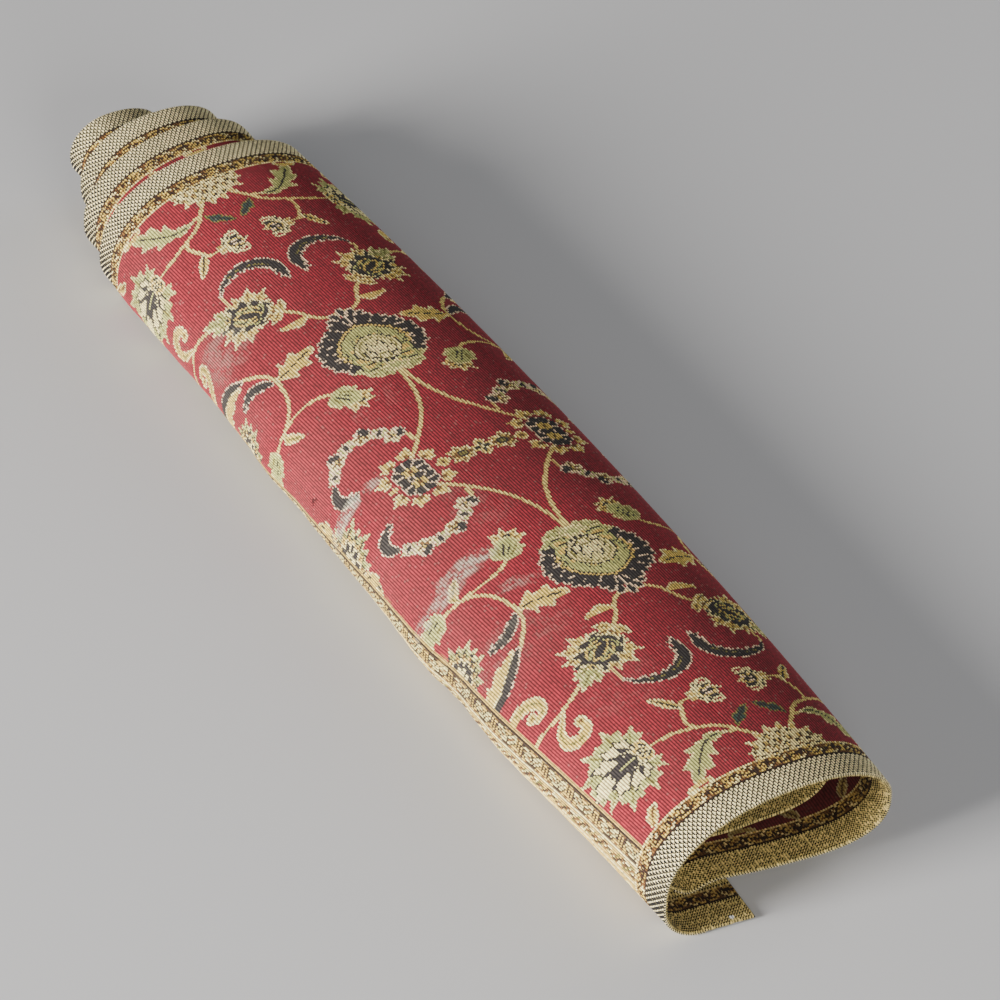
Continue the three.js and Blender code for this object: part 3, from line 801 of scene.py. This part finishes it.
def ground():
    """The whole rug as one thin closed sheet, under the ribs of its two faces."""
    s = np.concatenate([[0.5], np.linspace(4, RUG_LENGTH - 4, 220), [RUG_LENGTH - 0.5]])
    side = np.array([0.5, 8, 16, 24.3, 31, 38])
    t = np.concatenate([side, np.linspace(48, RUG_WIDTH - 48, 40), RUG_WIDTH - side[::-1]])
    ms, mt = ((s[:-1] + s[1:]) / 2)[:, None], ((t[:-1] + t[1:]) / 2)[None, :]
    rib = np.floor(ms / RIB).astype(int) + np.zeros(mt.shape, int)
    col = np.floor(mt / STITCH).astype(int) + np.zeros(ms.shape, int)
    # both sides of the sheet are painted darker as painted shade, since they show only in the gaps under the ribs
    face = threads(ms, mt, rib, col) * 0.6
    rear = threads(ms, mt, rib, col, back=True) * 0.6
    n, m = len(s), len(t)
    # face, down the far cut edge, back, up the near cut edge: one loop across t
    loop_t = np.concatenate([t, t[::-1], t[:1]])
    deep = np.concatenate([np.full(m, VALLEY + 0.05), np.full(m, THICK - VALLEY - 0.05), [VALLEY + 0.05]])
    pts = rug(s[:, None], loop_t[None, :], deep[None, :])
    cols = np.concatenate([face, face[:, -1:], rear[:, ::-1], rear[:, :1]], 1)
    idx = np.arange(n * 2 * m).reshape(n, 2 * m)
    verts = pts[:, : 2 * m].reshape(-1, 3)
    faces, hues = [], []
    for k in range(2 * m):
        a, b = idx[:, k], idx[:, (k + 1) % (2 * m)]
        faces.append(np.stack([a[:-1], a[1:], b[1:], b[:-1]], -1))
        hues.append(cols[:, k])
    for row, flip in ((0, False), (n - 1, True)):
        for k in range(m - 1):
            a, b, c, d = idx[row, k], idx[row, k + 1], idx[row, 2 * m - 2 - k], idx[row, 2 * m - 1 - k]
            faces.append(np.array([[d, c, b, a]]) if flip else np.array([[a, b, c, d]]))
            hues.append(face[min(row, n - 2), k][None])
    faces, hues = np.concatenate(faces), np.concatenate(hues)
    mesh = bpy.data.meshes.new("carpet_ground")
    mesh.from_pydata(verts.tolist(), [], faces.tolist())
    mesh.update(calc_edges=True)
    attr = mesh.color_attributes.new("Thread", "FLOAT_COLOR", "CORNER")
    rgba = np.concatenate([np.repeat(hues, 4, 0), np.ones((4 * len(hues), 1))], -1)
    attr.data.foreach_set("color", rgba.reshape(-1).astype(np.float32))
    obj = bpy.data.objects.new("carpet_ground", mesh)
    bpy.context.scene.collection.objects.link(obj)
    return obj


def wool():
    mat = bpy.data.materials.new("woven_threads")
    mat.use_nodes = True
    tree = mat.node_tree
    shader = tree.nodes["Principled BSDF"]
    shader.inputs["Roughness"].default_value = 0.88
    shader.inputs["Specular IOR Level"].default_value = 0.25
    shader.inputs["Sheen Weight"].default_value = 0.05
    shader.inputs["Sheen Roughness"].default_value = 0.5
    hue = tree.nodes.new("ShaderNodeVertexColor")
    hue.layer_name = "Thread"
    tree.links.new(hue.outputs["Color"], shader.inputs["Base Color"])
    grain = tree.nodes.new("ShaderNodeTexNoise")
    grain.inputs["Scale"].default_value = 900
    grain.inputs["Detail"].default_value = 3
    bump = tree.nodes.new("ShaderNodeBump")
    bump.inputs["Strength"].default_value = 0.35
    bump.inputs["Distance"].default_value = 0.0006
    spot = tree.nodes.new("ShaderNodeTexCoord")
    tree.links.new(spot.outputs["Object"], grain.inputs["Vector"])
    tree.links.new(grain.outputs["Fac"], bump.inputs["Height"])
    tree.links.new(bump.outputs["Normal"], shader.inputs["Normal"])
    return mat


WOOL = wool()
pieces = []
base = ground()
pieces.append(base)
cuts = [18, 62, 106, 150, 194, 240]
for k, (a, b) in enumerate(zip(cuts, cuts[1:])):
    pieces.append(ribbed(f"ribs_outer_{k + 1}", a, b, 0, RUG_WIDTH))
pieces.append(ribbed("ribs_far_steps", 240, 666, 770, RUG_WIDTH))
pieces.append(ribbed("back_near", 0, 440, 0, 150, back=True))
pieces.append(ribbed("back_far", 470, 666, 820, RUG_WIDTH, back=True))
for p in pieces:
    p.data.materials.append(WOOL)
    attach(p, "root")
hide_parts("carpet")

# ---------------------------------------------------------------- the studio
bpy.ops.mesh.primitive_plane_add(size=60, location=(0, 0, -0.0006))
floor = bpy.context.object
floor.name = "floor"
paint = bpy.data.materials.new("floor_paint")
paint.use_nodes = True
paint.node_tree.nodes["Principled BSDF"].inputs["Base Color"].default_value = (0.62, 0.62, 0.63, 1)
paint.node_tree.nodes["Principled BSDF"].inputs["Roughness"].default_value = 0.9
floor.data.materials.append(paint)

world = bpy.data.worlds.new("studio")
world.use_nodes = True
world.node_tree.nodes["Background"].inputs["Color"].default_value = (0.80, 0.84, 0.90, 1)
world.node_tree.nodes["Background"].inputs["Strength"].default_value = 0.12
bpy.context.scene.world = world


def lamp(name, at, aim, size, watts, tint):
    data = bpy.data.lights.new(name, "AREA")
    data.shape, data.size, data.energy, data.color = "DISK", size, watts, tint
    obj = bpy.data.objects.new(name, data)
    back = np.array(at, float) - np.array(aim, float)
    back /= np.linalg.norm(back)
    side = np.cross((0, 0, 1), back)
    side /= np.linalg.norm(side)
    up = np.cross(back, side)
    obj.matrix_world = Matrix([[side[i], up[i], back[i], at[i]] for i in range(3)] + [[0, 0, 0, 1]])
    bpy.context.scene.collection.objects.link(obj)


lamp("key", (0.6, -5.2, 1.40), (0.0, 0.0, 0.04), 2.2, 820, (1.0, 0.97, 0.93))
lamp("fill", (5.7, -1.0, 1.86), (0.3, 0.0, 0.04), 2.6, 256, (1.0, 0.98, 0.95))
lamp("rim", (-0.6, 2.4, 1.5), (-0.1, 0.0, 0.05), 1.4, 12, (0.97, 0.98, 1.0))

# ---------------------------------------------------------------- the camera
AZ, EL, ROLL = (math.radians(a) for a in (61.48725739, 35.45247225, 0.88651278))
DIST, FOCAL, OFF = 4318.56, 5895.67, (32.73828691, 49.35542817)
back = np.array([math.sin(AZ) * math.cos(EL), -math.cos(AZ) * math.cos(EL), math.sin(EL)])
flat_right = np.array([math.cos(AZ), math.sin(AZ), 0.0])
flat_up = np.cross(back, flat_right)
right = math.cos(ROLL) * flat_right + math.sin(ROLL) * flat_up
up = -math.sin(ROLL) * flat_right + math.cos(ROLL) * flat_up
eye = (OFF[0] * right + OFF[1] * up + DIST * back - CENTRE) / 1000
lens = bpy.data.cameras.new("camera")
lens.sensor_fit, lens.sensor_width, lens.lens = "HORIZONTAL", 36.0, FOCAL / 1000 * 36.0
lens.clip_start, lens.clip_end = 0.1, 60
camera = bpy.data.objects.new("camera", lens)
camera.matrix_world = Matrix([[right[i], up[i], back[i], eye[i]] for i in range(3)] + [[0, 0, 0, 1]])
bpy.context.scene.collection.objects.link(camera)
bpy.context.scene.camera = camera

bpy.context.view_layer.update()
